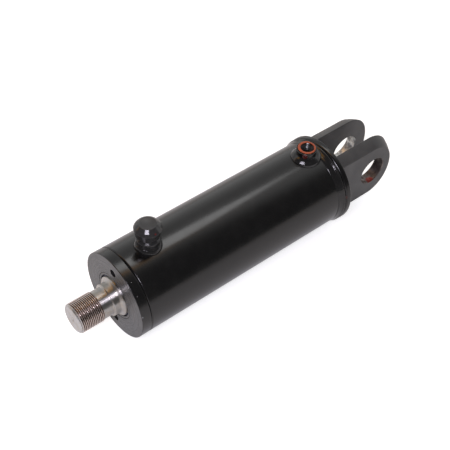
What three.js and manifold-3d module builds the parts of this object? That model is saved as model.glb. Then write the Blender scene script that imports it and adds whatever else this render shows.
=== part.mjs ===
// Single-stage double-acting hydraulic cylinder with a clevis base and a threaded rod end.
// Millimetres. Origin: centre of the clevis pin bore. +X runs along the cylinder towards the
// rod end, +Z is the side with the two oil ports, and the clevis pin lies along Y.

import * as THREE from 'three';
import { mergeVertices } from 'three/addons/utils/BufferGeometryUtils.js';
import Module from 'manifold-3d';

const wasm = await Module();
wasm.setup();

// ---- driving dimensions -------------------------------------------------------------------

const GAP = 0.3;                 // clearance kept between two pieces that touch

const TUBE_R = 50;               // barrel outside radius
const BORE_R = 40;               // barrel bore radius
const TUBE_BACK_X = 65;          // barrel end at the base cap
const TUBE_FRONT_X = 335.6;      // barrel end at the gland flange
const TUBE_EDGE = 1.4;           // chamfer on the barrel's front edge
const GLAND_THREAD_R = 42;       // internal thread that takes the gland

const CAP_BACK_X = 57;           // rear face of the base cap collar
const CAP_R = 52.8;              // base cap collar radius
const BASE_WELD_FRONT_X = 73.6;  // front toe of the bead between the cap and the barrel
const CAP_SPIGOT_X = 80;         // inner end of the base cap
const STEM_R = 46.5;             // round stem that the clevis is milled from
const STEM_END_X = -35;          // clevis end
const STEM_END_FILLET = 37;      // turned corner radius of the clevis end
const CLEVIS_WIDTH = 61;         // over the outer faces of the ears
const SLOT_WIDTH = 33;           // between the ears
const PIN_R = 17.5;              // clevis pin bore radius

const FLANGE_BACK_X = 336.2;     // gland flange
const FLANGE_FRONT_X = 347.6;
const SPANNER_HOLE_R = 4.3;      // two pin-spanner holes in the flange
const SPANNER_PITCH_R = 35.7;
const SPANNER_DEPTH = 8;
const WIPER_BORE_R = 27.3;
const ROD_CLEARANCE_R = 22.9;
const ROD_RING_R = 22.75;         // inside radius of the rings that guide and seal the rod

const ROD_R = 22.5;              // chromed rod
const ROD_END_R = 18.2;          // stepped rod end
const NECK_R = 16;
const THREAD_R = 17;             // rod thread, 2 mm pitch
const THREAD_PITCH = 2;
const THREAD_DEPTH = 1.15;
const ROD_TIP_X = 398.4;
const THREAD_BACK_X = 371;
const NECK_BACK_X = 358.2;
const FLARE_FRONT_X = 351.8;     // the rod end flares from here back to the full rod size
const ROD_FRONT_X = 348.7;
const PISTON_SPIGOT_R = 15;

const PISTON_BACK_X = 105;       // piston, rod fully retracted
const PISTON_FRONT_X = 142;
const PISTON_R = 39.5;
const NUT_BACK_X = 84.5;
const NUT_ACROSS_FLATS = 46;

const ROD_PORT_X = 303;          // port near the gland, closed with a screwed plug
const BASE_PORT_X = 85.5;        // port near the base, open
const PORT_DRILL_R = 5;

const FINE = 40;                 // facets round the barrel and the large turned pieces
const ROUND = 32;                // facets round the rod and the seal rings
const SMALL = 28;                // facets round the ports

// ---- materials ----------------------------------------------------------------------------

const steel = (color, roughness, metalness) =>
  new THREE.MeshStandardMaterial({ color, roughness, metalness });

const materials = {
  paint: steel(0x17181a, 0.32, 0.1),
  weld: steel(0x141517, 0.22, 0.1),
  chrome: steel(0xd8d8da, 0.12, 1),
  iron: steel(0x55565a, 0.55, 0.8),
  zinc: steel(0xb4b7ba, 0.4, 1),
  rubber: steel(0x0c0c0d, 0.75, 0),
  polyurethane: steel(0x14182c, 0.5, 0),
  bearing: steel(0x8a5a33, 0.6, 0),
  orange: steel(0xc8512a, 0.55, 0),
};

// ---- geometry helpers ---------------------------------------------------------------------

// Signed volume of an indexed geometry: positive when its faces point outwards.
function signedVolume(geometry) {
  const at = geometry.getAttribute('position');
  const corners = geometry.index.array;
  const [a, b, c] = [new THREE.Vector3(), new THREE.Vector3(), new THREE.Vector3()];
  let total = 0;
  for (let i = 0; i < corners.length; i += 3) {
    a.fromBufferAttribute(at, corners[i]);
    b.fromBufferAttribute(at, corners[i + 1]);
    c.fromBufferAttribute(at, corners[i + 2]);
    total += a.dot(b.cross(c)) / 6;
  }
  return total;
}

// Bare welded positions, with no zero-area triangle and every face pointing outwards.
function closed(geometry) {
  const bare = geometry.clone();
  bare.deleteAttribute('normal');
  bare.deleteAttribute('uv');
  const welded = mergeVertices(bare, 1e-4);
  const kept = [];
  const corners = welded.index.array;
  for (let i = 0; i < corners.length; i += 3) {
    const [a, b, c] = [corners[i], corners[i + 1], corners[i + 2]];
    if (a !== b && b !== c && c !== a) kept.push(a, b, c);
  }
  welded.setIndex(kept);
  if (signedVolume(welded) < 0) welded.setIndex(kept.reverse());
  return welded;
}

// A turned piece about X: each profile point is [x, radius].
function turnedX(profile, facets = FINE) {
  const points = profile.map(([x, r]) => new THREE.Vector2(r, x));
  return closed(new THREE.LatheGeometry(points, facets).rotateZ(-Math.PI / 2));
}

// A turned piece about a vertical axis at (x, 0): each profile point is [z, radius].
function turnedZ(x, profile, facets = SMALL) {
  const points = profile.map(([z, r]) => new THREE.Vector2(r, z));
  const lathe = new THREE.LatheGeometry(points, facets).rotateX(Math.PI / 2);
  return closed(lathe.translate(x, 0, 0));
}

// A profile closed on itself, for rings.
const ring = (points) => [...points, points[0]];

// A plain solid bar about X or Z.
const barX = (from, to, r, facets) => turnedX([[from, 0], [from, r], [to, r], [to, 0]], facets);
const barZ = (x, from, to, r, facets) =>
  turnedZ(x, [[from, 0], [from, r], [to, r], [to, 0]], facets);

// A bar along Y, for the pin bore.
function barY(halfLength, r, facets) {
  return closed(new THREE.CylinderGeometry(r, r, 2 * halfLength, facets));
}

function block(from, to) {
  const size = to.map((value, i) => value - from[i]);
  const centre = to.map((value, i) => (value + from[i]) / 2);
  return closed(new THREE.BoxGeometry(...size).translate(...centre));
}

function toSolid(geometry) {
  return new wasm.Manifold(new wasm.Mesh({
    numProp: 3,
    vertProperties: new Float32Array(geometry.getAttribute('position').array),
    triVerts: new Uint32Array(geometry.index.array),
  }));
}

function toGeometry(solid) {
  const mesh = solid.getMesh();
  const geometry = new THREE.BufferGeometry();
  geometry.setAttribute('position', new THREE.BufferAttribute(mesh.vertProperties, 3));
  geometry.setIndex(new THREE.BufferAttribute(mesh.triVerts, 1));
  return geometry;
}

function cut(body, ...tools) {
  const solid = tools.reduce((left, tool) => left.subtract(toSolid(tool)), toSolid(body));
  return toGeometry(solid);
}

// Lowers each point by the fall of the barrel's surface away from its top line, so that a flat
// ring comes to lie on the barrel.
function drape(geometry) {
  const at = geometry.getAttribute('position');
  for (let i = 0; i < at.count; i += 1) {
    const y = at.getY(i);
    at.setZ(i, at.getZ(i) + Math.sqrt(TUBE_R ** 2 - y ** 2) - TUBE_R);
  }
  return geometry;
}

// Points on a circular arc in the profile plane, angles in degrees.
function arc(x, r, radius, from, to, steps) {
  return Array.from({ length: steps + 1 }, (_, i) => {
    const angle = THREE.MathUtils.degToRad(from + ((to - from) * i) / steps);
    return [x + radius * Math.cos(angle), r + radius * Math.sin(angle)];
  });
}

const cylinder = new THREE.Group();

function add(name, geometry, material) {
  geometry.computeVertexNormals();
  const mesh = new THREE.Mesh(geometry, material);
  mesh.name = name;
  cylinder.add(mesh);
}

// ---- barrel and base ----------------------------------------------------------------------

function barrelTube() {
  const weldPrepX = 73;
  const weldPrepR = 45.5;
  const threadBackX = 318;
  const tube = turnedX(ring([
    [TUBE_BACK_X, BORE_R],
    [TUBE_BACK_X, weldPrepR],
    [weldPrepX, TUBE_R],
    [TUBE_FRONT_X - TUBE_EDGE, TUBE_R],
    [TUBE_FRONT_X, TUBE_R - TUBE_EDGE],
    [TUBE_FRONT_X, GLAND_THREAD_R],
    [threadBackX, GLAND_THREAD_R],
    [threadBackX, BORE_R],
  ]));
  const drills = [ROD_PORT_X, BASE_PORT_X].map((x) => barZ(x, 20, 60, PORT_DRILL_R, SMALL));
  return cut(tube, ...drills);
}

function baseCap() {
  const edge = 1.4;
  const collarFrontX = TUBE_BACK_X - 0.4;
  const cap = turnedX([
    [CAP_BACK_X, 0],
    [CAP_BACK_X, CAP_R - edge],
    [CAP_BACK_X + edge, CAP_R],
    [collarFrontX - edge, CAP_R],
    [collarFrontX, CAP_R - 0.9],
    [collarFrontX, BORE_R - GAP],
    [CAP_SPIGOT_X - edge, BORE_R - GAP],
    [CAP_SPIGOT_X, BORE_R - GAP - edge],
    [CAP_SPIGOT_X, 0],
  ]);
  const endCentreX = STEM_END_X + STEM_END_FILLET;
  const endCentreR = STEM_R - STEM_END_FILLET;
  const stem = turnedX([
    [STEM_END_X, 0],
    ...arc(endCentreX, endCentreR, STEM_END_FILLET, 180, 90, 10),
    [CAP_BACK_X + edge, STEM_R],
    [CAP_BACK_X + edge, 0],
  ]);
  const reach = 80;
  const half = CLEVIS_WIDTH / 2;
  const slab = block([-reach, -half, -reach], [reach, half, reach]);
  const slot = block([-reach, -SLOT_WIDTH / 2, -reach], [CAP_BACK_X, SLOT_WIDTH / 2, reach]);
  const ears = toSolid(stem).intersect(toSolid(slab)).subtract(toSolid(slot));
  const eye = toSolid(barY(reach, PIN_R, FINE));
  return toGeometry(ears.add(toSolid(cap)).subtract(eye));
}

// Crowned bead in the groove between the barrel and the base cap.
function baseWeld() {
  const backX = TUBE_BACK_X - 0.1;
  return turnedX(ring([
    [backX, 46.2],
    [backX, 52.1],
    [65.7, 52.6],
    [66.5, 52.6],
    [68.4, 51.5],
    [70.8, 50.8],
    [BASE_WELD_FRONT_X, TUBE_R + GAP],
    [73, TUBE_R + GAP],
  ]));
}

// ---- ports --------------------------------------------------------------------------------

const ROD_BOSS = { r: 12.6, top: 65, bore: 7.9, boreFloor: 53 };
const BASE_BOSS = { r: 11.7, top: 61.6, bore: 6.6, boreFloor: 52 };

function portBoss(x, boss) {
  const edge = 1;
  const body = turnedZ(x, ring([
    [40, PORT_DRILL_R],
    [40, boss.r],
    [boss.top - edge, boss.r],
    [boss.top, boss.r - edge],
    [boss.top, boss.bore],
    [boss.boreFloor, boss.bore],
    [boss.boreFloor - 1, PORT_DRILL_R],
  ]));
  const saddle = barX(x - 40, x + 40, TUBE_R + GAP, 2 * FINE);
  return cut(body, saddle);
}

// Fillet weld that follows the barrel's surface round a boss.
function portWeld(x, boss, leg, height) {
  const inner = boss.r + GAP;
  const low = TUBE_R + GAP;
  return drape(turnedZ(x, ring([
    [low, inner],
    [low + height, inner],
    [low + height * 0.62, inner + leg * 0.24],
    [low + height * 0.3, inner + leg * 0.55],
    [low + height * 0.1, inner + leg],
    [low, inner + leg],
  ])));
}

// The base port's weld runs up to the toe of the base bead and stops there.
function basePortWeld() {
  const bead = barX(0, BASE_WELD_FRONT_X + GAP, 2 * TUBE_R, SMALL);
  return cut(portWeld(BASE_PORT_X, BASE_BOSS, 5.2, 6), bead);
}

function rodPortPlug() {
  const headBottom = 66.5;
  const headWide = 75.7;
  const headTop = 81.4;
  return turnedZ(ROD_PORT_X, [
    [54.5, 0],
    [54.5, 6.6],
    [55.5, 7.5],
    [headBottom, 7.5],
    [headBottom, 13.1],
    [headBottom + 0.6, 13.6],
    [headWide - 0.8, 14.8],
    [headWide, 14.8],
    [headWide + 2.4, 12.9],
    [headTop - 0.3, 9.5],
    [headTop, 9.1],
    [headTop, 0],
  ]);
}

function washer(x, bottom, top, inner, outer, edge) {
  return turnedZ(x, ring([
    [bottom, inner],
    [bottom, outer],
    [top - edge, outer],
    [top, outer - edge],
    [top, inner + edge],
    [top - edge, inner],
  ]));
}

const rodPortPlugSeal = () => washer(ROD_PORT_X, ROD_BOSS.top + GAP, 66.2, 8.3, 11.4, 0.2);
const basePortSeal = () => washer(BASE_PORT_X, BASE_BOSS.top + GAP, 62.8, 6.7, 10, 0.25);

// ---- gland --------------------------------------------------------------------------------

const ROD_SEAL_GROOVE = { from: 331, to: 337, r: 28.2 };
const FRONT_BAND_GROOVE = { from: 321.5, to: 327.5, r: 25.2 };
const REAR_BAND_GROOVE = { from: 312.5, to: 318.5, r: 25.2 };
const WIPER_SEAT_X = 340.6;
const GLAND_RING_GROOVE = { from: 312, to: 317, r: 36 };

function grooveX(groove, landR) {
  return [
    [groove.to, landR],
    [groove.to, groove.r],
    [groove.from, groove.r],
    [groove.from, landR],
  ];
}

function glandHead() {
  const edge = 0.6;
  const backX = 309.5;
  const shoulderX = 320;
  const threadR = GLAND_THREAD_R - GAP;
  const spigotR = BORE_R - GAP;
  const profile = ring([
    [FLANGE_FRONT_X, WIPER_BORE_R],
    [FLANGE_FRONT_X, TUBE_R - edge],
    [FLANGE_FRONT_X - edge, TUBE_R],
    [FLANGE_BACK_X + edge, TUBE_R],
    [FLANGE_BACK_X, TUBE_R - edge],
    [FLANGE_BACK_X, threadR],
    [shoulderX, threadR],
    [shoulderX, spigotR],
    ...grooveX(GLAND_RING_GROOVE, spigotR),
    [backX + 1, spigotR],
    [backX, spigotR - 1],
    [backX, ROD_CLEARANCE_R],
    ...grooveX(REAR_BAND_GROOVE, ROD_CLEARANCE_R).reverse(),
    ...grooveX(FRONT_BAND_GROOVE, ROD_CLEARANCE_R).reverse(),
    ...grooveX(ROD_SEAL_GROOVE, ROD_CLEARANCE_R).reverse(),
    [WIPER_SEAT_X, ROD_CLEARANCE_R],
    [WIPER_SEAT_X, WIPER_BORE_R],
  ]);
  const holes = [1, -1].map((side) => barX(
    FLANGE_FRONT_X - SPANNER_DEPTH, FLANGE_FRONT_X + 5, SPANNER_HOLE_R, 20,
  ).translate(0, 0, side * SPANNER_PITCH_R));
  return cut(turnedX(profile), ...holes);
}

const seatedRing = (groove, inner, outer) => turnedX(ring([
  [groove.from + GAP, inner],
  [groove.to - GAP, inner],
  [groove.to - GAP, outer],
  [groove.from + GAP, outer],
]), ROUND);

// Steel cup of the wiper, flush with the flange face.
function wiperCase() {
  const outer = WIPER_BORE_R - GAP;
  return turnedX(ring([
    [WIPER_SEAT_X + GAP, 23.2],
    [WIPER_SEAT_X + GAP, outer],
    [FLANGE_FRONT_X - 0.5, outer],
    [FLANGE_FRONT_X, outer - 0.5],
    [FLANGE_FRONT_X, 24.6],
    [WIPER_SEAT_X + 1.6, 24.6],
    [WIPER_SEAT_X + 1.6, 23.2],
  ]));
}

// Flexible lip inside the cup, set back from the face.
function wiperLip() {
  return turnedX(ring([
    [WIPER_SEAT_X + 2, ROD_RING_R],
    [WIPER_SEAT_X + 2, 24.2],
    [344.6, 24.2],
    [346.2, 23.1],
    [346.2, ROD_RING_R],
  ]), ROUND);
}

function roundRing(x, r, section) {
  const sides = 8;
  return turnedX(ring(arc(x, r, section, 0, 360, sides).slice(0, sides)), ROUND);
}

// ---- rod and piston -----------------------------------------------------------------------

// Annular ridges at the thread's pitch, from the chamfered tip back to the neck.
function threadRidges() {
  const chamfer = 2;
  const count = Math.round((ROD_TIP_X - chamfer - THREAD_BACK_X) / THREAD_PITCH);
  const step = (ROD_TIP_X - chamfer - THREAD_BACK_X) / count;
  const points = [];
  for (let i = count - 1; i >= 0; i -= 1) {
    const x = THREAD_BACK_X + i * step;
    points.push([x + step, THREAD_R]);
    points.push([x + step / 2, THREAD_R - THREAD_DEPTH]);
  }
  points.push([THREAD_BACK_X, THREAD_R]);
  return points;
}

function pistonRod() {
  const spigotFrontX = PISTON_FRONT_X + GAP;
  const spigotBackX = NUT_BACK_X - 1.2;
  return turnedX([
    [ROD_TIP_X - 1.6, 0],
    [ROD_TIP_X, 1.7],
    [ROD_TIP_X, THREAD_R - 2],
    [ROD_TIP_X - 1.6, THREAD_R - 0.4],
    ...threadRidges(),
    [THREAD_BACK_X - 0.8, NECK_R],
    [NECK_BACK_X + 0.8, NECK_R],
    [NECK_BACK_X, NECK_R + 0.5],
    [NECK_BACK_X, ROD_END_R - 0.4],
    [NECK_BACK_X - 0.4, ROD_END_R],
    [FLARE_FRONT_X, ROD_END_R],
    [350.6, 18.7],
    [349.6, 19.8],
    [349, 21.3],
    [ROD_FRONT_X, ROD_R],
    [spigotFrontX, ROD_R],
    [spigotFrontX, PISTON_SPIGOT_R],
    [spigotBackX + 1.2, PISTON_SPIGOT_R],
    [spigotBackX, PISTON_SPIGOT_R - 1.2],
    [spigotBackX, 0],
  ], ROUND);
}

const PISTON_SEAL_GROOVE = { from: 119.5, to: 127.5, r: 32.5 };
const REAR_WEAR_GROOVE = { from: 108, to: 115.5, r: 37 };
const FRONT_WEAR_GROOVE = { from: 131.5, to: 139, r: 37 };
const STATIC_SEAL_GROOVE = { from: 134.5, to: 138.5, r: 18.2 };

function piston() {
  const edge = 1;
  const holeR = PISTON_SPIGOT_R + GAP;
  return turnedX(ring([
    [PISTON_FRONT_X, holeR],
    [PISTON_FRONT_X, PISTON_R - edge],
    [PISTON_FRONT_X - edge, PISTON_R],
    ...grooveX(FRONT_WEAR_GROOVE, PISTON_R),
    ...grooveX(PISTON_SEAL_GROOVE, PISTON_R),
    ...grooveX(REAR_WEAR_GROOVE, PISTON_R),
    [PISTON_BACK_X + edge, PISTON_R],
    [PISTON_BACK_X, PISTON_R - edge],
    [PISTON_BACK_X, holeR],
    ...grooveX(STATIC_SEAL_GROOVE, holeR).reverse(),
  ]));
}

function pistonNut() {
  const frontX = PISTON_BACK_X - GAP;
  const hexR = NUT_ACROSS_FLATS / Math.sqrt(3);
  const hexagon = turnedX([[NUT_BACK_X, 0], [NUT_BACK_X, hexR], [frontX, hexR], [frontX, 0]], 6);
  const chamfered = turnedX([
    [NUT_BACK_X, 0],
    [NUT_BACK_X, NUT_ACROSS_FLATS / 2 - 0.5],
    [NUT_BACK_X + 2, hexR],
    [frontX, hexR],
    [frontX, 0],
  ]);
  const blank = toSolid(hexagon).intersect(toSolid(chamfered));
  const hole = toSolid(barX(NUT_BACK_X - 5, frontX + 5, PISTON_SPIGOT_R + GAP, ROUND));
  return toGeometry(blank.subtract(hole));
}

// ---- assembly -----------------------------------------------------------------------------

add('barrel_tube', barrelTube(), materials.paint);
add('base_cap_clevis', baseCap(), materials.paint);
add('base_weld', baseWeld(), materials.weld);

add('rod_port_boss', portBoss(ROD_PORT_X, ROD_BOSS), materials.paint);
add('rod_port_weld', portWeld(ROD_PORT_X, ROD_BOSS, 3.4, 4.2), materials.weld);
add('rod_port_plug', rodPortPlug(), materials.paint);
add('rod_port_plug_seal', rodPortPlugSeal(), materials.rubber);
add('base_port_boss', portBoss(BASE_PORT_X, BASE_BOSS), materials.paint);
add('base_port_weld', basePortWeld(), materials.weld);
add('base_port_seal', basePortSeal(), materials.orange);

add('gland_head', glandHead(), materials.paint);
add('wiper_case', wiperCase(), materials.paint);
add('wiper_lip', wiperLip(), materials.polyurethane);
add('rod_seal', seatedRing(ROD_SEAL_GROOVE, ROD_RING_R, 27.9), materials.polyurethane);
add('rod_guide_band_front', seatedRing(FRONT_BAND_GROOVE, ROD_RING_R, 24.9), materials.bearing);
add('rod_guide_band_rear', seatedRing(REAR_BAND_GROOVE, ROD_RING_R, 24.9), materials.bearing);
add('gland_o_ring', roundRing(313.8, 38, 1.5), materials.rubber);
add('gland_backup_ring', seatedRing({ from: 315.4, to: 317 }, 36.3, 39.5), materials.bearing);

add('piston_rod', pistonRod(), materials.chrome);
add('piston', piston(), materials.iron);
add('piston_seal', seatedRing(PISTON_SEAL_GROOVE, 32.8, 39.85), materials.polyurethane);
add('piston_wear_ring_rear', seatedRing(REAR_WEAR_GROOVE, 37.3, 39.85), materials.bearing);
add('piston_wear_ring_front', seatedRing(FRONT_WEAR_GROOVE, 37.3, 39.85), materials.bearing);
add('piston_static_o_ring', roundRing(136.5, 16.7, 1.2), materials.rubber);
add('piston_nut', pistonNut(), materials.zinc);

export default cylinder;
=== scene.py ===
import math

import bmesh
import bpy
import numpy as np
from mathutils import Matrix, Vector


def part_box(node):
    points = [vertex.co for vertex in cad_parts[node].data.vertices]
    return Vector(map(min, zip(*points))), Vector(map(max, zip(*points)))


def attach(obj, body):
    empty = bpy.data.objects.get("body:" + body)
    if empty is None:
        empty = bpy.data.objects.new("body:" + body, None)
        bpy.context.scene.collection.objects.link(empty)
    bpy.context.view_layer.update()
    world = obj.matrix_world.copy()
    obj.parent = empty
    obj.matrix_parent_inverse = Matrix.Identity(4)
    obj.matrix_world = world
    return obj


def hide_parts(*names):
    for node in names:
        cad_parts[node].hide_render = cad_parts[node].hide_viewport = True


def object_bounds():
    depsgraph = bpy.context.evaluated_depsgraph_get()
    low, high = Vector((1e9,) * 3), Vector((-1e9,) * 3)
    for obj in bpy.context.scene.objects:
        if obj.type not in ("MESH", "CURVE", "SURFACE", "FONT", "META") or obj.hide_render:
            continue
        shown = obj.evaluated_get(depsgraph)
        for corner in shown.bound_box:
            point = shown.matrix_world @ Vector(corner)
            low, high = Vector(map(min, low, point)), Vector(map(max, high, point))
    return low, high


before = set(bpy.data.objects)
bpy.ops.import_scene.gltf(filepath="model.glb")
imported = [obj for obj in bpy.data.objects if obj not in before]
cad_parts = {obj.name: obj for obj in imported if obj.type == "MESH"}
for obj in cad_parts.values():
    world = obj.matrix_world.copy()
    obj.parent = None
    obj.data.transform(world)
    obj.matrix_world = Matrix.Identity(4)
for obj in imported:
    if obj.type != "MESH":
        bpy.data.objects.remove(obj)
cad_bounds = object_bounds()

# Lengths below are millimetres. The origin is the clevis pin, +X runs to the rod end, +Z is the
# side of the two ports. Edges that fold by more than SHARP degrees are shaded as sharp.
MM = 0.001
X, Y, Z = 0, 1, 2
SHARP = 32.0


def span(node, axis):
    """Lowest and highest coordinate of a CAD node along one axis, in millimetres."""
    low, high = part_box(node)
    return low[axis] / MM, high[axis] / MM


# ---- sizes taken from the frame -------------------------------------------------------------

TUBE_BACK, TUBE_FRONT = span("barrel_tube", X)
TUBE_R = span("barrel_tube", Z)[1]
CAP_R = span("base_cap_clevis", Z)[1]
FLANGE_FRONT = span("gland_head", X)[1]
ROD_TIP = span("piston_rod", X)[1]
ROD_R = span("piston_rod", Z)[1]
ROD_SPIGOT_BACK = span("piston_rod", X)[0]
PISTON_FRONT = span("piston", X)[1]
ROD_PORT_X = sum(span("rod_port_boss", X)) / 2
BASE_PORT_X = sum(span("base_port_boss", X)) / 2
ROD_BOSS_R = span("rod_port_boss", Y)[1]
BASE_BOSS_R = span("base_port_boss", Y)[1]
ROD_BOSS_TOP = span("rod_port_boss", Z)[1]
BASE_BOSS_TOP = span("base_port_boss", Z)[1]
PLUG_TOP = span("rod_port_plug", Z)[1]

# ---- sizes inside those boxes ---------------------------------------------------------------

# The clevis: two ears milled from a round stem with a rounded far end, behind a collar.
CLEVIS_HALF = 30.5
SLOT_HALF = 16.5
PIN_R = 17.5
EAR_EDGE = 0.8
PIN_CHAMFER = 0.9
STEM_R = 46.5
STEM_FILLET = 37.0
STEM_END = -35.0
COLLAR_BACK = 57.0
COLLAR_FRONT = 64.6
SPIGOT_R = 39.7
SPIGOT_FRONT = 80.0

# The tube: bevelled for its weld at the back, threaded for the gland at the front.
BORE_R = 40.0
BEVEL_FOOT_R = 45.5
BEVEL_END = 73.0
GLAND_THREAD_R = 42.0
GLAND_THREAD_BACK = 318.0

# The ports: holes drilled in the tube under bosses that start inside its wall.
PORT_DRILL_R = 5.0
BOSS_FOOT = 46.0
PORT_FLOOR = 53.0
ROD_PORT_R = 7.9
BASE_PORT_R = 7.4
PORT_THREAD_PITCH = 1.34
PORT_THREAD_DEPTH = 0.48
RING_LOW, RING_HIGH = 61.9, 62.8
RING_R = 10.05
RING_HOLE_R = 7.7
PLUG_FOOT = 54.5
PLUG_SHANK_R = 7.5
PLUG_HEAD_FOOT = 66.5

# The gland: screwed into the tube, with grooves of (low, high, radius) round the rod's hole.
GLAND_BACK = 309.5
FLANGE_BACK = 336.2
GLAND_OUTER_R = 41.7
ROD_HOLE_R = 22.9
GLAND_GROOVES = [(312.5, 318.5, 25.2), (321.5, 327.5, 25.2), (331.0, 337.0, 28.2)]
WIPER_SEAT_BACK = 340.6
WIPER_SEAT_R = 27.3
SPANNER_R = 4.3
SPANNER_DEPTH = 8.0
SPANNER_PITCH_R = 35.7

# The rod: a threaded end, a neck behind it and a spigot for the piston.
THREAD_BACK = 371.0
THREAD_R = 17.0
THREAD_PITCH = 2.0
THREAD_DEPTH = 1.2
TIP_CHAMFER = 2.0
NECK_BACK = 358.2
NECK_R = 16.0
SHOULDER_R = 18.2
SPIGOT_THREAD_R = 15.0

# ---- mesh helpers ---------------------------------------------------------------------------


def rounded(points, closed=False, steps=5, hold=0.2):
    """A profile of (along, radius) or (along, radius, fillet) with each filleted corner turned
    into an arc. A point just past each arc keeps the flat beside it flat when it is shaded."""
    out = []
    count = len(points)
    for i, point in enumerate(points):
        here = np.array(point[:2], float)
        fillet = point[2] if len(point) > 2 else 0.0
        if not fillet:
            out.append(here)
            continue
        to_before = np.array(points[i - 1][:2], float) - here
        to_after = np.array(points[(i + 1) % count][:2], float) - here
        len_before, len_after = np.linalg.norm(to_before), np.linalg.norm(to_after)
        to_before, to_after = to_before / len_before, to_after / len_after
        half = math.acos(np.clip(to_before @ to_after, -1, 1)) / 2
        reach = min(fillet / math.tan(half), 0.45 * len_before, 0.45 * len_after)
        start, end = here + to_before * reach, here + to_after * reach
        if len_before > 2 * (reach + hold):
            out.append(start + to_before * hold)
        for k in range(steps + 1):
            t = k / steps
            out.append((1 - t) ** 2 * start + 2 * t * (1 - t) * here + t * t * end)
        if len_after > 2 * (reach + hold):
            out.append(end + to_after * hold)
    if closed:
        out.append(out[0])
    return np.array(out)


def wrapped_faces(rings, around, closed):
    """Quads of a grid of rings that closes on itself around, and along too when closed."""
    faces = []
    for i in range(rings if closed else rings - 1):
        low, high = i * around, ((i + 1) % rings) * around
        for j in range(around):
            k = (j + 1) % around
            faces.append((low + j, low + k, high + k, high + j))
    return faces


def mesh_object(name, points, faces, sharp=SHARP):
    """A closed mesh object from points in millimetres, with outward faces."""
    mesh = bpy.data.meshes.new(name)
    mesh.from_pydata((np.asarray(points).reshape(-1, 3) * MM).tolist(), [], faces)
    work = bmesh.new()
    work.from_mesh(mesh)
    bmesh.ops.remove_doubles(work, verts=work.verts, dist=1e-7)
    bmesh.ops.recalc_face_normals(work, faces=work.faces)
    work.to_mesh(mesh)
    work.free()
    mesh.shade_smooth()
    mesh.set_sharp_from_angle(angle=math.radians(sharp))
    made = bpy.data.objects.new(name, mesh)
    bpy.context.scene.collection.objects.link(made)
    return made


def turned(name, profile, axis=X, centre=0.0, around=256, shape=None, finish=None, sharp=SHARP):
    """A turned piece about X, or about a vertical axis at x = centre. shape(along, radius, angle)
    may change the radii and finish(points) may move the points, both in millimetres."""
    profile = np.array([point[:2] for point in profile], float)
    closed = bool(np.allclose(profile[0], profile[-1]))
    if closed:
        profile = profile[:-1]
    angle = np.linspace(0, 2 * math.pi, around, endpoint=False)[None, :]
    along = np.repeat(profile[:, :1], around, axis=1)
    radius = np.repeat(profile[:, 1:], around, axis=1)
    if shape:
        radius = shape(along, radius, angle)
    side, rise = radius * np.cos(angle), radius * np.sin(angle)
    if axis == X:
        points = np.stack([along, side, rise], axis=-1)
    else:
        points = np.stack([centre + side, rise, along], axis=-1)
    if finish:
        points = finish(points)
    return mesh_object(name, points, wrapped_faces(len(profile), around, closed), sharp)


def combine(body, tools, operation="DIFFERENCE"):
    """Cuts the tools from the body, or joins them to it, and removes the tools."""
    for tool in tools:
        step = body.modifiers.new(tool.name, "BOOLEAN")
        step.operation = operation
        step.solver = "EXACT"
        step.object = tool
    shown = body.evaluated_get(bpy.context.evaluated_depsgraph_get())
    mesh = bpy.data.meshes.new_from_object(shown)
    body.modifiers.clear()
    body.data = mesh
    for tool in tools:
        bpy.data.objects.remove(tool)
    mesh.shade_smooth()
    mesh.set_sharp_from_angle(angle=math.radians(SHARP))


def dress(piece, body, nodes, slot, *materials):
    """Gives a piece its materials and body, and hides the CAD nodes it stands for. Its slot is not
    used.
    """
    piece.data.materials.clear()
    for made in materials:
        piece.data.materials.append(made)
    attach(piece, body)
    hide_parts(*nodes)


def paint_faces(piece, index, test):
    """Gives material number index to each face whose centre, in millimetres, and normal pass
    the test."""
    for face in piece.data.polygons:
        if test(face.center / MM, face.normal):
            face.material_index = index


def drape(points):
    """Lowers points by the fall of the barrel away from its top line."""
    points = points.copy()
    y = points[..., 1]
    points[..., 2] += np.sqrt(TUBE_R ** 2 - y ** 2) - TUBE_R
    return points


def waves(angle, seed, parts):
    """A sum of sine waves round a full turn, each a (count, height), with fixed random phases."""
    phase = np.random.default_rng(seed).uniform(0, 2 * math.pi, len(parts))
    return sum(height * np.sin(count * angle + start)
               for (count, height), start in zip(parts, phase))


# ---- material helpers -----------------------------------------------------------------------


def node(tree, kind, inputs=None, **settings):
    """A shader node. A socket among the inputs is linked, and any other value is set."""
    made = tree.nodes.new(kind)
    for key, value in settings.items():
        setattr(made, key, value)
    for key, value in (inputs or {}).items():
        if isinstance(value, bpy.types.NodeSocket):
            tree.links.new(value, made.inputs[key])
        else:
            made.inputs[key].default_value = value
    return made


def maths(tree, operation, *values):
    """The result of a maths node."""
    return node(tree, "ShaderNodeMath", dict(enumerate(values)), operation=operation).outputs[0]


def hypotenuse(tree, first, second):
    """Square root of first squared plus second squared."""
    squares = [maths(tree, "MULTIPLY", side, side) for side in (first, second)]
    return maths(tree, "SQRT", maths(tree, "ADD", *squares))


def ramp(tree, value, low, high, to_low=0.0, to_high=1.0):
    """value from low to high becomes to_low to to_high, eased at both ends."""
    made = node(tree, "ShaderNodeMapRange", {
        "Value": value, "From Min": low, "From Max": high, "To Min": to_low, "To Max": to_high,
    }, interpolation_type="SMOOTHSTEP")
    return made.outputs[0]


def mixed(tree, fraction, first, second):
    """Colour between first and second."""
    made = node(tree, "ShaderNodeMix", {0: fraction, 6: first, 7: second}, data_type="RGBA")
    return made.outputs[2]


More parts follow.
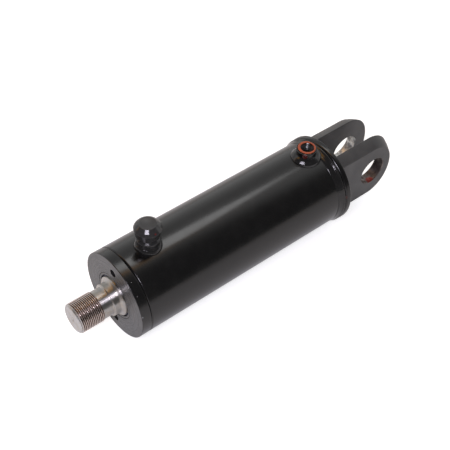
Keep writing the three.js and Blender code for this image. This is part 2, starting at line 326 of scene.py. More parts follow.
def noise(tree, vector, scale, detail=2.0, rough=0.5):
    """Cloudy noise from 0 to 1, with scale in clouds to the metre."""
    made = node(tree, "ShaderNodeTexNoise", {
        "Vector": vector, "Scale": scale, "Detail": detail, "Roughness": rough,
    })
    return made.outputs["Fac"]


def new_material(name, **values):
    """A Principled material with plain values on its sockets, and its tree, shader and place."""
    made = bpy.data.materials.new(name)
    made.use_nodes = True
    tree = made.node_tree
    shader = tree.nodes["Principled BSDF"]
    for key, value in values.items():
        shader.inputs[key.replace("_", " ")].default_value = value
    place = node(tree, "ShaderNodeTexCoord").outputs["Object"]
    return made, tree, shader, place


def bump(tree, shader, height, strength, distance, under=None):
    """Fine relief on a shader, over the relief under it if there is some."""
    inputs = {"Height": height, "Strength": strength, "Distance": distance}
    if under:
        inputs["Normal"] = under
    made = node(tree, "ShaderNodeBump", inputs).outputs[0]
    tree.links.new(made, shader.inputs["Normal"])
    return made


def turning_marks(tree, place, fine, centre=None):
    """Noise that doesn't change round the turning axis: X, or a vertical axis at x = centre."""
    shifted = node(tree, "ShaderNodeVectorMath", {0: place, 1: (centre or 0.0, 0, 0)},
                   operation="SUBTRACT").outputs[0]
    axes = node(tree, "ShaderNodeSeparateXYZ", {0: shifted}).outputs
    across, along = (axes[X], axes[Z]) if centre else (axes[Z], axes[X])
    radius = hypotenuse(tree, across, axes[Y])
    flat = node(tree, "ShaderNodeCombineXYZ", {0: along, 1: radius, 2: 0.0}).outputs[0]
    return noise(tree, flat, fine, 3.0, 0.6)


def stretched(tree, shader, amount):
    """Draws a shader's highlights out across the tool marks that run round X."""
    round_x = node(tree, "ShaderNodeTangent", direction_type="RADIAL", axis="X").outputs[0]
    tree.links.new(round_x, shader.inputs["Tangent"])
    shader.inputs["Anisotropic"].default_value = amount
    shader.inputs["Anisotropic Rotation"].default_value = 0.25


def stained(tree, place, colour, stains):
    """A colour with stains over it, each (centre, size, strength, tint) with a ragged edge and
    its centre and size in millimetres."""
    for centre, size, strength, tint in stains:
        reach = size * MM
        away = node(tree, "ShaderNodeVectorMath", {0: place, 1: Vector(centre) * MM},
                    operation="DISTANCE").outputs["Value"]
        ragged = maths(tree, "MULTIPLY_ADD", noise(tree, place, 600.0, 3.0), reach * 0.8, away)
        inside = ramp(tree, ragged, reach * 1.05, reach * 1.4, 1.0, 0.0)
        colour = mixed(tree, maths(tree, "MULTIPLY", inside, strength), colour, tint)
    return colour


def grey(value, tint=(1.0, 1.0, 1.0)):
    """A grey of that value, times a tint."""
    return (value * tint[0], value * tint[1], value * tint[2], 1.0)


# ---- materials ------------------------------------------------------------------------------


def gloss_black(name, roughness, orange_peel, stains=(), specks=True, base=0.0042):
    """Black enamel over steel: faint orange peel, uneven gloss, dust specks and a few stains."""
    made, tree, shader, place = new_material(name, Roughness=roughness, IOR=1.5)
    mottle = noise(tree, place, 35.0, 4.0)
    tree.links.new(ramp(tree, mottle, 0.3, 0.7, roughness * 0.88, roughness * 1.14),
                   shader.inputs["Roughness"])
    colour = mixed(tree, ramp(tree, noise(tree, place, 90.0, 3.0), 0.35, 0.75), grey(base),
                   grey(base * 1.2 + 0.0015, (1.0, 1.0, 0.97)))
    if specks:
        dots = node(tree, "ShaderNodeTexVoronoi", {"Vector": place, "Scale": 130.0})
        chosen = maths(tree, "GREATER_THAN", noise(tree, dots.outputs["Position"], 310.0, 0.0), 0.7)
        near = ramp(tree, dots.outputs["Distance"], 0.02, 0.06, 1.0, 0.0)
        colour = mixed(tree, maths(tree, "MULTIPLY", chosen, near), colour, grey(0.22))
    tree.links.new(stained(tree, place, colour, stains), shader.inputs["Base Color"])
    bump(tree, shader, noise(tree, place, 420.0, 1.5), orange_peel, 0.00008)
    return made


def turned_black(name, roughness, fine, marks, base, centre=None, stains=()):
    """Black enamel over a turned face, whose tool marks still show. Centre is in millimetres."""
    made, tree, shader, place = new_material(name, Roughness=roughness, IOR=1.5)
    lines = turning_marks(tree, place, fine, centre * MM if centre else None)
    colour = mixed(tree, ramp(tree, noise(tree, place, 120.0, 3.0), 0.3, 0.7), grey(base),
                   grey(base * 1.25 + 0.002))
    tree.links.new(stained(tree, place, colour, stains), shader.inputs["Base Color"])
    tree.links.new(ramp(tree, lines, 0.35, 0.65, roughness * 0.85, roughness * 1.2),
                   shader.inputs["Roughness"])
    first = bump(tree, shader, lines, marks, 0.00006)
    bump(tree, shader, noise(tree, place, 700.0, 2.0), 0.06, 0.00005, first)
    return made


def bare_steel(name, colour, roughness, fine, marks, mottle, stretch=0.0):
    """Bare turned steel with tool marks round X and slight tarnish."""
    made, tree, shader, place = new_material(name, Metallic=1.0, Roughness=roughness)
    lines = turning_marks(tree, place, fine)
    dull = grey(1.0 - mottle, (0.98, 0.93, 0.86))
    tarnish = tuple(colour[i] * dull[i] for i in range(3)) + (1.0,)
    cloud = ramp(tree, noise(tree, place, 160.0, 4.0), 0.35, 0.7)
    tree.links.new(mixed(tree, cloud, colour, tarnish), shader.inputs["Base Color"])
    tree.links.new(ramp(tree, lines, 0.3, 0.7, roughness * 0.85, roughness * 1.15),
                   shader.inputs["Roughness"])
    bump(tree, shader, lines, marks, 0.00005)
    if stretch:
        stretched(tree, shader, stretch)
    return made


def scuffed_steel(name, bright, dark, grain, stains=()):
    """Bored steel with patches of paint, oil and rust left in it."""
    made, tree, shader, place = new_material(name, Metallic=0.85, Roughness=0.4)
    patches = ramp(tree, noise(tree, place, grain, 5.0, 0.6), 0.38, 0.62)
    colour = mixed(tree, patches, dark, bright)
    tree.links.new(stained(tree, place, colour, stains), shader.inputs["Base Color"])
    tree.links.new(ramp(tree, patches, 0.0, 1.0, 0.5, 0.3), shader.inputs["Roughness"])
    bump(tree, shader, noise(tree, place, 900.0, 3.0), 0.3, 0.0001)
    return made


def moulded(name, colour, roughness, grain=0.15, scale=1500.0, **values):
    """Rubber, plastic or cast material with a fine grain and slight colour variation."""
    made, tree, shader, place = new_material(name, Roughness=roughness, **values)
    cloud = ramp(tree, noise(tree, place, 220.0, 4.0), 0.3, 0.7)
    darker = tuple(v * 0.72 for v in colour[:3]) + (1.0,)
    tree.links.new(mixed(tree, cloud, colour, darker), shader.inputs["Base Color"])
    bump(tree, shader, noise(tree, place, scale, 3.0), grain, 0.0001)
    return made


def threaded_steel():
    """Cut thread, coloured by radius: light crests as a painted highlight over dark brown grooves
    as painted shade.
    """
    made, tree, shader, place = new_material("steel_thread", Metallic=1.0, Roughness=0.25)
    axes = node(tree, "ShaderNodeSeparateXYZ", {0: place}).outputs
    radius = hypotenuse(tree, axes[Y], axes[Z])
    crest = ramp(tree, radius, (THREAD_R - 1.0) * MM, (THREAD_R - 0.1) * MM)
    # Painted shade: the grooves are coloured dark brown. Painted highlight: the crests are coloured
    # light.
    groove_painted_shade = grey(0.13, (1.0, 0.66, 0.48))
    crest_painted_highlight = grey(0.70, (1.0, 0.88, 0.82))
    tree.links.new(mixed(tree, crest, groove_painted_shade, crest_painted_highlight), shader.inputs["Base Color"])
    tree.links.new(ramp(tree, crest, 0.0, 1.0, 0.5, 0.3), shader.inputs["Roughness"])
    stretched(tree, shader, 0.8)
    bump(tree, shader, noise(tree, place, 1500.0, 3.0), 0.1, 0.00005)
    return made


paint = gloss_black("paint_black", 0.18, 0.05)
collar_paint = gloss_black("paint_collar", 0.2, 0.05, [
    ((66.0, 51.3, 11), 4.0, 0.35, (0.12, 0.02, 0.012, 1.0))])
ear_paint = gloss_black("paint_ears", 0.42, 0.10, base=0.042)
flange_paint = turned_black("paint_flange", 0.30, fine=900.0, marks=0.14, base=0.062)
rim_paint = gloss_black("paint_flange_rim", 0.2, 0.05, [
    ((342.8, 25.7, 42.9), 0.6, 0.5, grey(0.35)), ((344.3, 37.4, 33.2), 0.6, 0.4, grey(0.3)),
    ((346.3, 48.5, 12.0), 0.7, 0.6, grey(0.5)), ((347.2, 49.3, 6.2), 0.6, 0.5, grey(0.4))])
boss_paint = gloss_black("paint_boss", 0.14, 0.04, base=0.018)
base_boss_paint = gloss_black("paint_base_boss", 0.16, 0.04, [
    ((94.6, 7.2, 59.0), 3.6, 0.85, (0.075, 0.012, 0.010, 1.0))])
bead_paint = gloss_black("paint_weld_bead", 0.13, 0.05, base=0.010)
plug_paint = turned_black(
    "plug_black", 0.12, fine=500.0, marks=0.08, base=0.022, centre=ROD_PORT_X, stains=[
        ((303.5, 13.4, 77.0), 1.3, 0.8, (0.12, 0.015, 0.015, 1.0))])
plug_top_paint = turned_black(
    "plug_top_black", 0.36, fine=700.0, marks=0.3, base=0.022, centre=ROD_PORT_X)
hole_paint = gloss_black("paint_in_hole", 0.5, 0.1, specks=False)
rod_steel = bare_steel(
    "steel_polished", grey(0.51, (1.0, 0.98, 0.95)), 0.38,
    fine=1400.0, marks=0.05, mottle=0.05, stretch=0.95)
end_steel = bare_steel(
    "steel_faced_end", grey(0.57), 0.42, fine=1600.0, marks=0.25, mottle=0.08)
thread_steel = threaded_steel()
ear_bore_near = scuffed_steel(
    "steel_pin_bore_near", grey(0.20, (1.0, 0.86, 0.80)), grey(0.08, (1.0, 0.82, 0.75)), 110.0, [
        ((-1, 28.5, -17.5), 5.5, 0.8, (0.26, 0.030, 0.020, 1.0))])
ear_bore_far = scuffed_steel(
    "steel_pin_bore_far", grey(0.66, (1.0, 1.0, 0.97)), grey(0.24), 170.0)
port_thread_steel = gloss_black("paint_port_thread", 0.22, 0.05, specks=False, base=0.03)
orange = moulded("seal_orange", (0.40, 0.070, 0.016, 1.0), 0.5, 0.2)
wiper_blue = moulded("wiper_polyurethane", (0.010, 0.014, 0.06, 1.0), 0.35)

# ---- barrel and base ------------------------------------------------------------------------


def port_drill(along):
    """Cutter for the hole of the port at x = along, through the upper wall of the tube."""
    low, high = 20.0, 60.0
    return turned("drill", [(low, 0), (low, PORT_DRILL_R), (high, PORT_DRILL_R), (high, 0)],
                  Z, along, 96)


# Rings of points along the outside keep its shading even from end to end.
tube_edge = 1.3
barrel = turned("barrel", rounded([
    (TUBE_BACK, BORE_R), (TUBE_BACK, BEVEL_FOOT_R), (BEVEL_END, TUBE_R), (BEVEL_END + 0.3, TUBE_R),
    *[(x, TUBE_R) for x in np.arange(BEVEL_END + 4.0, 330.0, 6.0)],
    (TUBE_FRONT - tube_edge, TUBE_R, 1.3), (TUBE_FRONT, TUBE_R - tube_edge, 0.5),
    (TUBE_FRONT, GLAND_THREAD_R), (GLAND_THREAD_BACK, GLAND_THREAD_R), (GLAND_THREAD_BACK, BORE_R),
], closed=True), sharp=25.0)
combine(barrel, [port_drill(ROD_PORT_X), port_drill(BASE_PORT_X)])
dress(barrel, "barrel", ["barrel_tube"], "paint", paint)


def stem_radius(x):
    """Radius of the round stem that the clevis is milled from, at x."""
    fillet_x = STEM_END + STEM_FILLET
    if x >= fillet_x:
        return STEM_R
    inside = STEM_FILLET ** 2 - (x - fillet_x) ** 2
    return STEM_R - STEM_FILLET + math.sqrt(max(inside, 0.0))


def outline_reach(angle, y, end_x):
    """Distance from the pin's axis to the clevis outline at one height y across the ear."""
    run, rise = -math.cos(angle), math.sin(angle)
    low, high = 5.0, 80.0
    for _ in range(50):
        mid = (low + high) / 2
        x, z = mid * run, mid * rise
        inside = x > STEM_END and x < end_x and z * z + y * y < stem_radius(x) ** 2
        low, high = (mid, high) if inside else (low, mid)
    return low


def ear(name, side):
    """One ear of the clevis: a closed loop of points in section, swept round the pin bore.
    The loop runs over the ear's rim, in over its outer face, through the bore and out again
    over the face in the slot."""
    end_x = COLLAR_BACK + 3.0
    inner_edge, outer_edge = SLOT_HALF + EAR_EDGE, CLEVIS_HALF - EAR_EDGE
    corner = math.atan2(math.sqrt(STEM_R ** 2 - CLEVIS_HALF ** 2), -end_x)
    outline = np.linspace(0, corner, 110)
    hidden_end = np.linspace(corner, math.pi, 40)[1:]
    half = np.concatenate([outline, hidden_end])
    angles = np.concatenate([half, 2 * math.pi - half[-2:0:-1]])

    turns = np.linspace(0, math.pi / 2, 5)
    rounding = [(EAR_EDGE * (1 - math.sin(t)), EAR_EDGE * (1 - math.cos(t))) for t in turns]
    levels = [(SLOT_HALF + rise, inset) for rise, inset in rounding[::-1]]
    levels += [(y, 0.0) for y in np.linspace(inner_edge + 0.3, outer_edge - 0.3, 8)]
    levels += [(CLEVIS_HALF - rise, inset) for rise, inset in rounding]
    rings = []
    for y, inset in levels:
        level = min(max(y, inner_edge), outer_edge)
        rings.append(([outline_reach(a, level, end_x) - inset for a in angles], y))

    # Across each flat face to the bore, past two rings that share out the width between them.
    outer, inner = np.array(rings[-1][0]), np.array(rings[0][0])
    mouth_r = PIN_R + PIN_CHAMFER
    for share in (0.02, 0.5):
        rings.append((outer * (1 - share) + (PIN_R + 2) * share, CLEVIS_HALF))
    for radius, y in [
            (mouth_r + 0.25, CLEVIS_HALF), (mouth_r, CLEVIS_HALF),
            (PIN_R, CLEVIS_HALF - PIN_CHAMFER), (PIN_R, CLEVIS_HALF - PIN_CHAMFER - 0.3),
            (PIN_R, SLOT_HALF + PIN_CHAMFER + 0.3), (PIN_R, SLOT_HALF + PIN_CHAMFER),
            (mouth_r, SLOT_HALF), (mouth_r + 0.25, SLOT_HALF)]:
        rings.append((np.full(len(angles), radius), y))
    for share in (0.5, 0.02):
        rings.append((inner * (1 - share) + (PIN_R + 2) * share, SLOT_HALF))
    points = np.array([
        [(-r * math.cos(a), side * y, r * math.sin(a)) for r, a in zip(reach, angles)]
        for reach, y in rings])
    return mesh_object(name, points, wrapped_faces(len(rings), len(angles), True))


def in_pin_bore(at):
    """Whether a point is on the wall or the chamfers of the pin bore."""
    return math.hypot(at.x, at.z) < PIN_R + PIN_CHAMFER + 0.05


cap = turned("base_cap", rounded([
    (COLLAR_BACK, 0), (COLLAR_BACK, CAP_R, 1.5), (COLLAR_FRONT, CAP_R - 0.3, 3.6),
    (COLLAR_FRONT, 44.0), (COLLAR_FRONT, SPIGOT_R), (SPIGOT_FRONT - 1.4, SPIGOT_R),
    (SPIGOT_FRONT, SPIGOT_R - 1.4), (SPIGOT_FRONT, 0)], steps=6))
combine(cap, [ear("ear_near", 1), ear("ear_far", -1)], "UNION")
dress(cap, "barrel", ["base_cap_clevis"], "paint",
      collar_paint, ear_paint, ear_bore_near, ear_bore_far)
paint_faces(cap, 1, lambda at, facing: at.x < COLLAR_BACK - 0.01)
paint_faces(cap, 2, lambda at, facing: in_pin_bore(at) and at.y > 0)
paint_faces(cap, 3, lambda at, facing: in_pin_bore(at) and at.y < 0)


def bead_ripple(along, radius, angle):
    """Ripples of a weld laid round the barrel, slanted by the torch's travel."""
    crest = np.clip((radius - 50.0) / 2.5, 0, 1)
    slant = angle + 0.010 * (along - 69)
    uneven = waves(slant, 3, [(5, 0.03), (11, 0.025), (23, 0.02)])
    return radius + crest * (0.025 * np.sin(118 * slant) + uneven - 0.12)


base_bead = turned("base_weld_bead", rounded([
    (64.9, 46.0), (64.9, 51.7, 0.7), (66.3, 52.75, 1.0), (68.5, 51.35, 2.2), (71.6, 50.45, 3.0),
    (75.2, 50.0), (75.4, 49.7), (73.0, 49.0)], closed=True, hold=10, steps=7),
    around=1180, shape=bead_ripple, sharp=50.0)
dress(base_bead, "barrel", ["base_weld"], "weld", bead_paint)

# ---- ports ----------------------------------------------------------------------------------


def inside_thread(root_r, low, high):
    """Shape of a threaded hole: a ridge winds inwards from the root radius, fading at its ends."""
    pitch, depth = PORT_THREAD_PITCH, PORT_THREAD_DEPTH

    def shape(along, radius, angle):
        turn = (along / pitch + angle / (2 * math.pi)) % 1.0
        ridge = np.clip((np.abs(turn - 0.5) * 2 - 0.15) / 0.7, 0, 1)
        fade = np.clip((along - low) / pitch, 0, 1) * np.clip((high - along) / pitch, 0, 1)
        threaded = np.abs(radius - root_r) < 0.01
        return np.where(threaded, radius - depth * ridge * fade, radius)
    return shape


def boss(name, along, outer, shoulder, top, bore, threaded):
    """Round port boss, sunk into the barrel's wall, with its bore threaded if it can be seen.
    The shoulder is the (height, radius, fillet) of each corner between its side and its top."""
    wall_low, wall_high = PORT_FLOOR + 0.4, top - 1.2
    steps = int((wall_high - wall_low) / 0.11) if threaded else 1
    profile = list(rounded([
        (BOSS_FOOT, PORT_DRILL_R), (BOSS_FOOT, outer), *shoulder, (top, bore + 0.6)], hold=0.15))
    profile += [(top - 0.6, bore + 0.02)]
    profile += [(z, bore) for z in np.linspace(wall_high, wall_low, steps + 1)]
    profile += [(PORT_FLOOR, bore - 0.4), (PORT_FLOOR - 1.0, PORT_DRILL_R),
                (BOSS_FOOT, PORT_DRILL_R)]
    shape = inside_thread(bore, wall_low, top - 1.0) if threaded else None
    return turned(name, profile, Z, along, 128, shape)


def port_bead(name, along, inner, leg, height, seed):
    """Rippled fillet weld that follows the barrel round a boss of radius inner."""
    low = TUBE_R - 1.5
    ripple_length = 2.2
    section = rounded([
        (low, inner - 1.0), (TUBE_R + height, inner - 1.0), (TUBE_R + height, inner + 0.25, 0.5),
        (TUBE_R + height * 0.80, inner + leg * 0.42, 1.4),
        (TUBE_R + height * 0.42, inner + leg * 0.82, 1.6),
        (TUBE_R - 0.2, inner + leg), (low, inner + leg - 0.3)], closed=True, hold=10)

    def ripple(z, radius, angle):
        reach = np.clip((radius - inner) / leg, 0, 1.1)
        count = int(2 * math.pi * inner / ripple_length)
        wobble = waves(angle, seed, [(2, 0.25), (3, 0.3), (7, 0.12)])
        return radius + reach * (0.05 * np.sin(count * angle + 0.5 * z) + wobble)
    return turned(name, section, Z, along, 320, ripple, drape, 50.0)


rod_boss = boss(
    "rod_port_boss_turned", ROD_PORT_X, ROD_BOSS_R,
    [(60.2, ROD_BOSS_R, 1.8), (62.7, 10.2, 0.6), (ROD_BOSS_TOP, 10.0, 0.3)],
    ROD_BOSS_TOP, ROD_PORT_R, threaded=False)
dress(rod_boss, "barrel", ["rod_port_boss"], "paint", boss_paint)
rod_bead = port_bead("rod_port_weld_bead", ROD_PORT_X, ROD_BOSS_R, leg=2.4, height=4.6, seed=11)
dress(rod_bead, "barrel", ["rod_port_weld"], "weld", bead_paint)
base_boss = boss(
    "base_port_boss_turned", BASE_PORT_X, BASE_BOSS_R,
    [(BASE_BOSS_TOP, BASE_BOSS_R, 0.9)], BASE_BOSS_TOP, BASE_PORT_R, threaded=True)
dress(base_boss, "barrel", ["base_port_boss"], "paint", base_boss_paint, port_thread_steel)
paint_faces(base_boss, 1, lambda at, facing: (
    math.hypot(at.x - BASE_PORT_X, at.y) < BASE_PORT_R + 0.2 and at.z > PORT_FLOOR - 0.5))
base_port_bead = port_bead(
    "base_port_weld_bead", BASE_PORT_X, BASE_BOSS_R, leg=6.0, height=5.6, seed=12)
dress(base_port_bead, "barrel", ["base_port_weld"], "weld", bead_paint)

# A shank in the boss, under a head that widens upwards and is chamfered round its dished top.
plug_dish = 0.12
plug = turned("rod_port_plug_turned", rounded([
    (PLUG_FOOT, 0), (PLUG_FOOT, PLUG_SHANK_R, 0.8), (PLUG_HEAD_FOOT, PLUG_SHANK_R),
    (PLUG_HEAD_FOOT, 13.5, 0.6), (75.3, 14.8, 0.7), (78.2, 12.9, 1.6), (PLUG_TOP, 9.2, 0.35),
    (PLUG_TOP, 8.2), (PLUG_TOP - plug_dish, 7.9), (PLUG_TOP - plug_dish, 0)],
    steps=6), Z, ROD_PORT_X, 192)
dress(plug, "barrel", ["rod_port_plug"], "plug", plug_paint, plug_top_paint)
paint_faces(plug, 1, lambda at, facing: at.z > PLUG_TOP - 0.3)


def off_centre(points):
    """Shifts the ring's hole sideways: the ring was moulded and pressed on unevenly."""
    points = points.copy()
    reach = np.hypot(points[..., X] - BASE_PORT_X, points[..., Y])
    share = np.clip((10.0 - reach) / (10.0 - RING_HOLE_R), 0, 1)
    points[..., X] -= 0.50 * share
    points[..., Y] += 0.30 * share
    return points


port_ring = turned("base_port_seal_ring", rounded([
    (RING_LOW, RING_HOLE_R, 0.2), (RING_LOW, RING_R, 0.3), (RING_HIGH, RING_R, 0.35),
    (RING_HIGH, RING_HOLE_R, 0.3)], closed=True, hold=0.1),
    Z, BASE_PORT_X, 128, finish=off_centre)
dress(port_ring, "barrel", ["base_port_seal"], "orange_seal", orange)

# ---- gland ----------------------------------------------------------------------------------

groove_corners = [
    corner for low, high, radius in GLAND_GROOVES
    for corner in [(low, ROD_HOLE_R), (low, radius), (high, radius), (high, ROD_HOLE_R)]]
gland = turned("gland", rounded([
    (FLANGE_FRONT, WIPER_SEAT_R, 0.3), (FLANGE_FRONT, TUBE_R, 0.8), (FLANGE_BACK, TUBE_R, 0.7),
    (FLANGE_BACK, GLAND_OUTER_R), (320.0, GLAND_OUTER_R), (320.0, 39.7), (317.0, 39.7),
    (317.0, 36.0), (312.0, 36.0), (312.0, 39.7), (GLAND_BACK + 1.0, 39.7), (GLAND_BACK, 38.7),
    (GLAND_BACK, ROD_HOLE_R), *groove_corners, (WIPER_SEAT_BACK, ROD_HOLE_R),
    (WIPER_SEAT_BACK, WIPER_SEAT_R)], closed=True))


def spanner_cutter(side):
    """Cutter for one spanner hole: drilled with a pointed end and chamfered at its mouth."""
    bottom, above = FLANGE_FRONT - SPANNER_DEPTH, FLANGE_FRONT + 1.0
    cutter = turned("spanner_hole", [
        (bottom - 2.0, 0), (bottom, SPANNER_R), (FLANGE_FRONT - 0.25, SPANNER_R),
        (above, SPANNER_R + 1.25), (above, 0)], X, around=96)
    cutter.data.transform(Matrix.Translation((0, 0, side * SPANNER_PITCH_R * MM)))
    return cutter


combine(gland, [spanner_cutter(1), spanner_cutter(-1)])
dress(gland, "barrel", ["gland_head"], "paint", rim_paint, flange_paint, hole_paint)
paint_faces(gland, 1, lambda at, facing: at.x > FLANGE_FRONT - 0.2 and facing.x > 0.9)
paint_faces(gland, 2, lambda at, facing: (
    at.x < FLANGE_FRONT - 0.3
    and math.hypot(at.y, abs(at.z) - SPANNER_PITCH_R) < SPANNER_R + 0.1))

# The wiper: a turned case pressed into its seat, and a lip that stands out of it round the rod.
case_back, lip_back, lip_front = WIPER_SEAT_BACK + 0.3, 342.6, 346.4
wiper_case = turned("wiper_case_turned", rounded([
    (case_back, 23.2), (case_back, 27.0), (FLANGE_FRONT, 27.0, 0.5), (FLANGE_FRONT, 24.5, 0.3),
    (342.2, 24.5), (342.2, 23.2)], closed=True))
dress(wiper_case, "barrel", ["wiper_case"], "paint", flange_paint)
wiper_lip = turned("wiper_lip_turned", rounded([
    (lip_back, ROD_R + 0.2), (lip_back, 24.2), (345.0, 24.2, 0.4), (lip_front, 23.2, 0.3),
    (lip_front, ROD_R + 0.2, 0.2)], closed=True))
dress(wiper_lip, "barrel", ["wiper_lip"], "polyurethane", wiper_blue)

# ---- rod ------------------------------------------------------------------------------------


def outside_thread(along, radius, angle):
    """Radii of the rod end: a 60 degree helical groove cut from the thread's crest."""
    turn = (along / THREAD_PITCH - angle / (2 * math.pi)) % 1.0
    groove = np.clip((0.5 - np.abs(turn - 0.5) - 0.07) / 0.34, 0, 1)
    run_out = np.clip((along - (THREAD_BACK - 0.7)) / 1.0, 0, 1)
    cut = np.minimum(radius, THREAD_R - THREAD_DEPTH * groove * run_out)
    return np.where(along > THREAD_BACK - 0.9, cut, radius)


# The tip, with its centre hole and its chamfer, then closely spaced rings for the thread.
crest_step = 0.16
rod_profile = list(rounded([
    (ROD_TIP - 2.0, 0), (ROD_TIP - 1.5, 1.0), (ROD_TIP, 4.0, 0.5),
    (ROD_TIP, THREAD_R - TIP_CHAMFER - 0.1, 0.25), (ROD_TIP - TIP_CHAMFER, THREAD_R)], steps=4))
chamfer_to = rod_profile.pop()
chamfer_from = rod_profile[-1]
rod_profile += [chamfer_from + (chamfer_to - chamfer_from) * t for t in np.linspace(0.1, 0.95, 10)]
rod_profile += [(x, THREAD_R) for x in np.arange(ROD_TIP - TIP_CHAMFER, THREAD_BACK, -crest_step)]
rod_profile += [(THREAD_BACK, THREAD_R), (THREAD_BACK - 0.35, THREAD_R - 0.4)]
# The neck, its shoulder, the flare up to the rod, the rod itself and the piston's spigot.
rod_profile += list(rounded([
    (THREAD_BACK - 0.9, NECK_R), (NECK_BACK, NECK_R, 1.4), (NECK_BACK, SHOULDER_R, 0.7),
    (351.9, SHOULDER_R), (351.2, 18.4), (350.5, 18.85), (349.9, 19.5), (349.45, 20.3),
    (349.1, 21.3), (348.8, ROD_R, 0.3), (PISTON_FRONT + 0.3, ROD_R),
    (PISTON_FRONT + 0.3, SPIGOT_THREAD_R), (ROD_SPIGOT_BACK + 1.2, SPIGOT_THREAD_R),
    (ROD_SPIGOT_BACK, SPIGOT_THREAD_R - 1.2), (ROD_SPIGOT_BACK, 0)]))
rod = turned("rod", rod_profile, around=224, shape=outside_thread)
dress(rod, "rod", ["piston_rod"], "chromed_steel", rod_steel, thread_steel, end_steel)
paint_faces(rod, 1, lambda at, facing: at.x > THREAD_BACK - 0.8)
paint_faces(rod, 2, lambda at, facing: at.x > ROD_TIP - 2.2 and facing.x > 0.45)

# ---- CAD pieces that stay, inside the cylinder ----------------------------------------------

carried_over = {
    "rod_port_plug_seal": moulded("rubber_black", (0.012, 0.012, 0.013, 1.0), 0.6),
    "rod_seal": moulded("seal_polyurethane", (0.02, 0.03, 0.10, 1.0), 0.4),
    "rod_guide_band_front": moulded("band_resin", (0.25, 0.12, 0.05, 1.0), 0.6, 0.3, 900.0),
    "piston": moulded("iron_turned", (0.10, 0.10, 0.11, 1.0), 0.45, 0.3, 600.0, Metallic=0.8),
    "piston_nut": moulded("zinc_plated", (0.45, 0.46, 0.48, 1.0), 0.3, 0.1, 800.0, Metallic=1.0),
}
same_as = {
    "gland_o_ring": "rod_port_plug_seal", "piston_static_o_ring": "rod_port_plug_seal",
    "piston_seal": "rod_seal", "rod_guide_band_rear": "rod_guide_band_front",
    "gland_backup_ring": "rod_guide_band_front", "piston_wear_ring_rear": "rod_guide_band_front",
    "piston_wear_ring_front": "rod_guide_band_front",
}
for name in [*carried_over, *same_as]:
    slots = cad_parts[name].data.materials
    slots.clear()
    slots.append(carried_over[same_as.get(name, name)])

# ---- camera ---------------------------------------------------------------------------------

camera_data = bpy.data.cameras.new("camera")
camera_data.lens = 77.03
camera_data.sensor_width = 36.0
camera = bpy.data.objects.new("camera", camera_data)
bpy.context.scene.collection.objects.link(camera)
bpy.context.scene.camera = camera
camera_place = Vector((0.67508, 0.53404, 0.78621))
camera_target = Vector((0.1968, -0.0039, 0.0053))
camera_roll = math.radians(3.245)
toward = (camera_target - camera_place).to_track_quat("-Z", "Y").to_matrix()
camera.matrix_world = Matrix.Translation(camera_place) @ (
    toward @ Matrix.Rotation(camera_roll, 3, "Z")).to_4x4()

# ---- studio ---------------------------------------------------------------------------------

# A white floor just under the cylinder. The camera sees it whiter than it lights the cylinder.
floor_z = cad_bounds[0].z - 0.0002
floor_reach = 40.0
corners = [(-1, -1), (1, -1), (1, 1), (-1, 1)]
floor_mesh = bpy.data.meshes.new("floor")
floor_mesh.from_pydata([(x * floor_reach, y * floor_reach, floor_z) for x, y in corners],
                       [], [(0, 1, 2, 3)])
floor = bpy.data.objects.new("floor", floor_mesh)
bpy.context.scene.collection.objects.link(floor)
floor_material, floor_tree, floor_shader, _ = new_material(
    "floor_white", Base_Color=grey(0.70), Roughness=0.9, Emission_Color=grey(1.0),
    Emission_Strength=0.24, Specular_IOR_Level=0.0)
floor_glow = node(floor_tree, "ShaderNodeEmission", {"Strength": 0.45}).outputs[0]
whiter = node(floor_tree, "ShaderNodeAddShader", {0: floor_shader.outputs[0], 1: floor_glow})
floor_look = node(floor_tree, "ShaderNodeMixShader", {
    0: node(floor_tree, "ShaderNodeLightPath").outputs["Is Camera Ray"],
    1: floor_shader.outputs[0], 2: whiter.outputs[0]})
floor_tree.links.new(floor_look.outputs[0],
                     floor_tree.nodes["Material Output"].inputs["Surface"])
floor_mesh.materials.append(floor_material)

# The room is a band of brightness that runs over the cylinder. Its angle is 0 degrees level
# with the viewer, 90 overhead and 180 level on the far side: dim on the viewer's side, bright
# from just past overhead. A warm card hangs just past overhead, and ends to the viewer's right.
# The camera itself sees only white.
TOWARDS_VIEWER = Vector((0.664, 0.748))
VIEWER_RIGHT = Vector((-TOWARDS_VIEWER.y, TOWARDS_VIEWER.x, 0))
ROOM_LEVELS = [
    (0, 0.22), (8, 0.14), (30, 0.09), (82, 0.10), (92, 0.16), (102, 0.55), (108, 0.9),
    (122, 0.9), (129, 0.72), (137, 0.58), (146, 0.62), (156, 0.76), (168, 0.88), (180, 0.92)]
WARM_CARD = (1.7, 0.84, 0.17, 1.0)
SEEN_ROOM = grey(1.1)
room = bpy.data.worlds.new("room")
bpy.context.scene.world = room
room.use_nodes = True
tree = room.node_tree
tree.nodes.clear()
direction = node(tree, "ShaderNodeSeparateXYZ",
                 {0: node(tree, "ShaderNodeTexCoord").outputs["Generated"]}).outputs
near = maths(tree, "ADD", maths(tree, "MULTIPLY", direction[X], TOWARDS_VIEWER.x),
             maths(tree, "MULTIPLY", direction[Y], TOWARDS_VIEWER.y))
rightwards = maths(tree, "ADD", maths(tree, "MULTIPLY", direction[X], VIEWER_RIGHT.x),
                   maths(tree, "MULTIPLY", direction[Y], VIEWER_RIGHT.y))
half_turns = maths(tree, "DIVIDE", maths(tree, "ARCTAN2", direction[Z], near), math.pi)
band = node(tree, "ShaderNodeValToRGB", {0: half_turns})
elements = band.color_ramp.elements
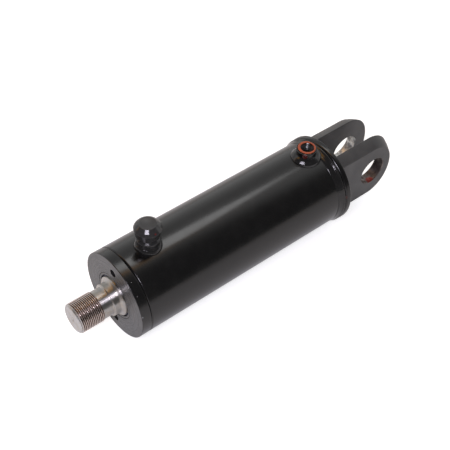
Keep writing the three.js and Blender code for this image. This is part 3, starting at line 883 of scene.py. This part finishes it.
for i, (degrees, level) in enumerate(ROOM_LEVELS):
    spot = elements[i] if i < 2 else elements.new(degrees / 180)
    spot.position = degrees / 180
    spot.color = grey(level)
card_start = ramp(tree, half_turns, 92.7 / 180, 96.3 / 180)
card_end = ramp(tree, half_turns, 103.5 / 180, 107.1 / 180, 1.0, 0.0)
card_side = ramp(tree, rightwards, 0.26, 0.31, 1.0, 0.0)
warm = maths(tree, "MULTIPLY", maths(tree, "MULTIPLY", card_start, card_end), card_side)
lit = mixed(tree, warm, band.outputs[0], WARM_CARD)
seen = node(tree, "ShaderNodeLightPath").outputs["Is Camera Ray"]
glow = mixed(tree, seen, lit, SEEN_ROOM)
background = node(tree, "ShaderNodeBackground", {"Color": glow, "Strength": 1.0})
node(tree, "ShaderNodeOutputWorld", {"Surface": background.outputs[0]})


def area_light(name, angle, rightwards, distance, size, radiance, colour=(1.0, 1.0, 1.0)):
    """A panel of light aimed at the cylinder, hidden from the camera. Its angle is the room's,
    in degrees, and rightwards is its lean to the viewer's right."""
    level = Vector((*TOWARDS_VIEWER, 0)) * math.cos(math.radians(angle))
    arc = level + Vector((0, 0, math.sin(math.radians(angle))))
    back = (arc * math.sqrt(1 - rightwards ** 2) + VIEWER_RIGHT * rightwards).normalized()
    up = back.cross(VIEWER_RIGHT).normalized()
    across = up.cross(back).normalized()
    panel = bpy.data.lights.new(name, "AREA")
    panel.shape = "RECTANGLE"
    panel.size, panel.size_y = size
    panel.energy = radiance * math.pi * size[0] * size[1]
    panel.color = colour
    made = bpy.data.objects.new(name, panel)
    bpy.context.scene.collection.objects.link(made)
    place = Vector((0.2, 0, 0.05)) + back * distance
    made.matrix_world = Matrix.Translation(place) @ Matrix((across, up, back)).transposed().to_4x4()
    made.visible_camera = False


area_light("softbox", 114.8, 0.08, 2.2, (0.95, 0.62), 2.7)
area_light("lamp", 46.5, -0.10, 1.35, (0.56, 0.36), 17.0, (1.0, 0.95, 1.1))

bpy.context.scene.view_settings.view_transform = "Standard"
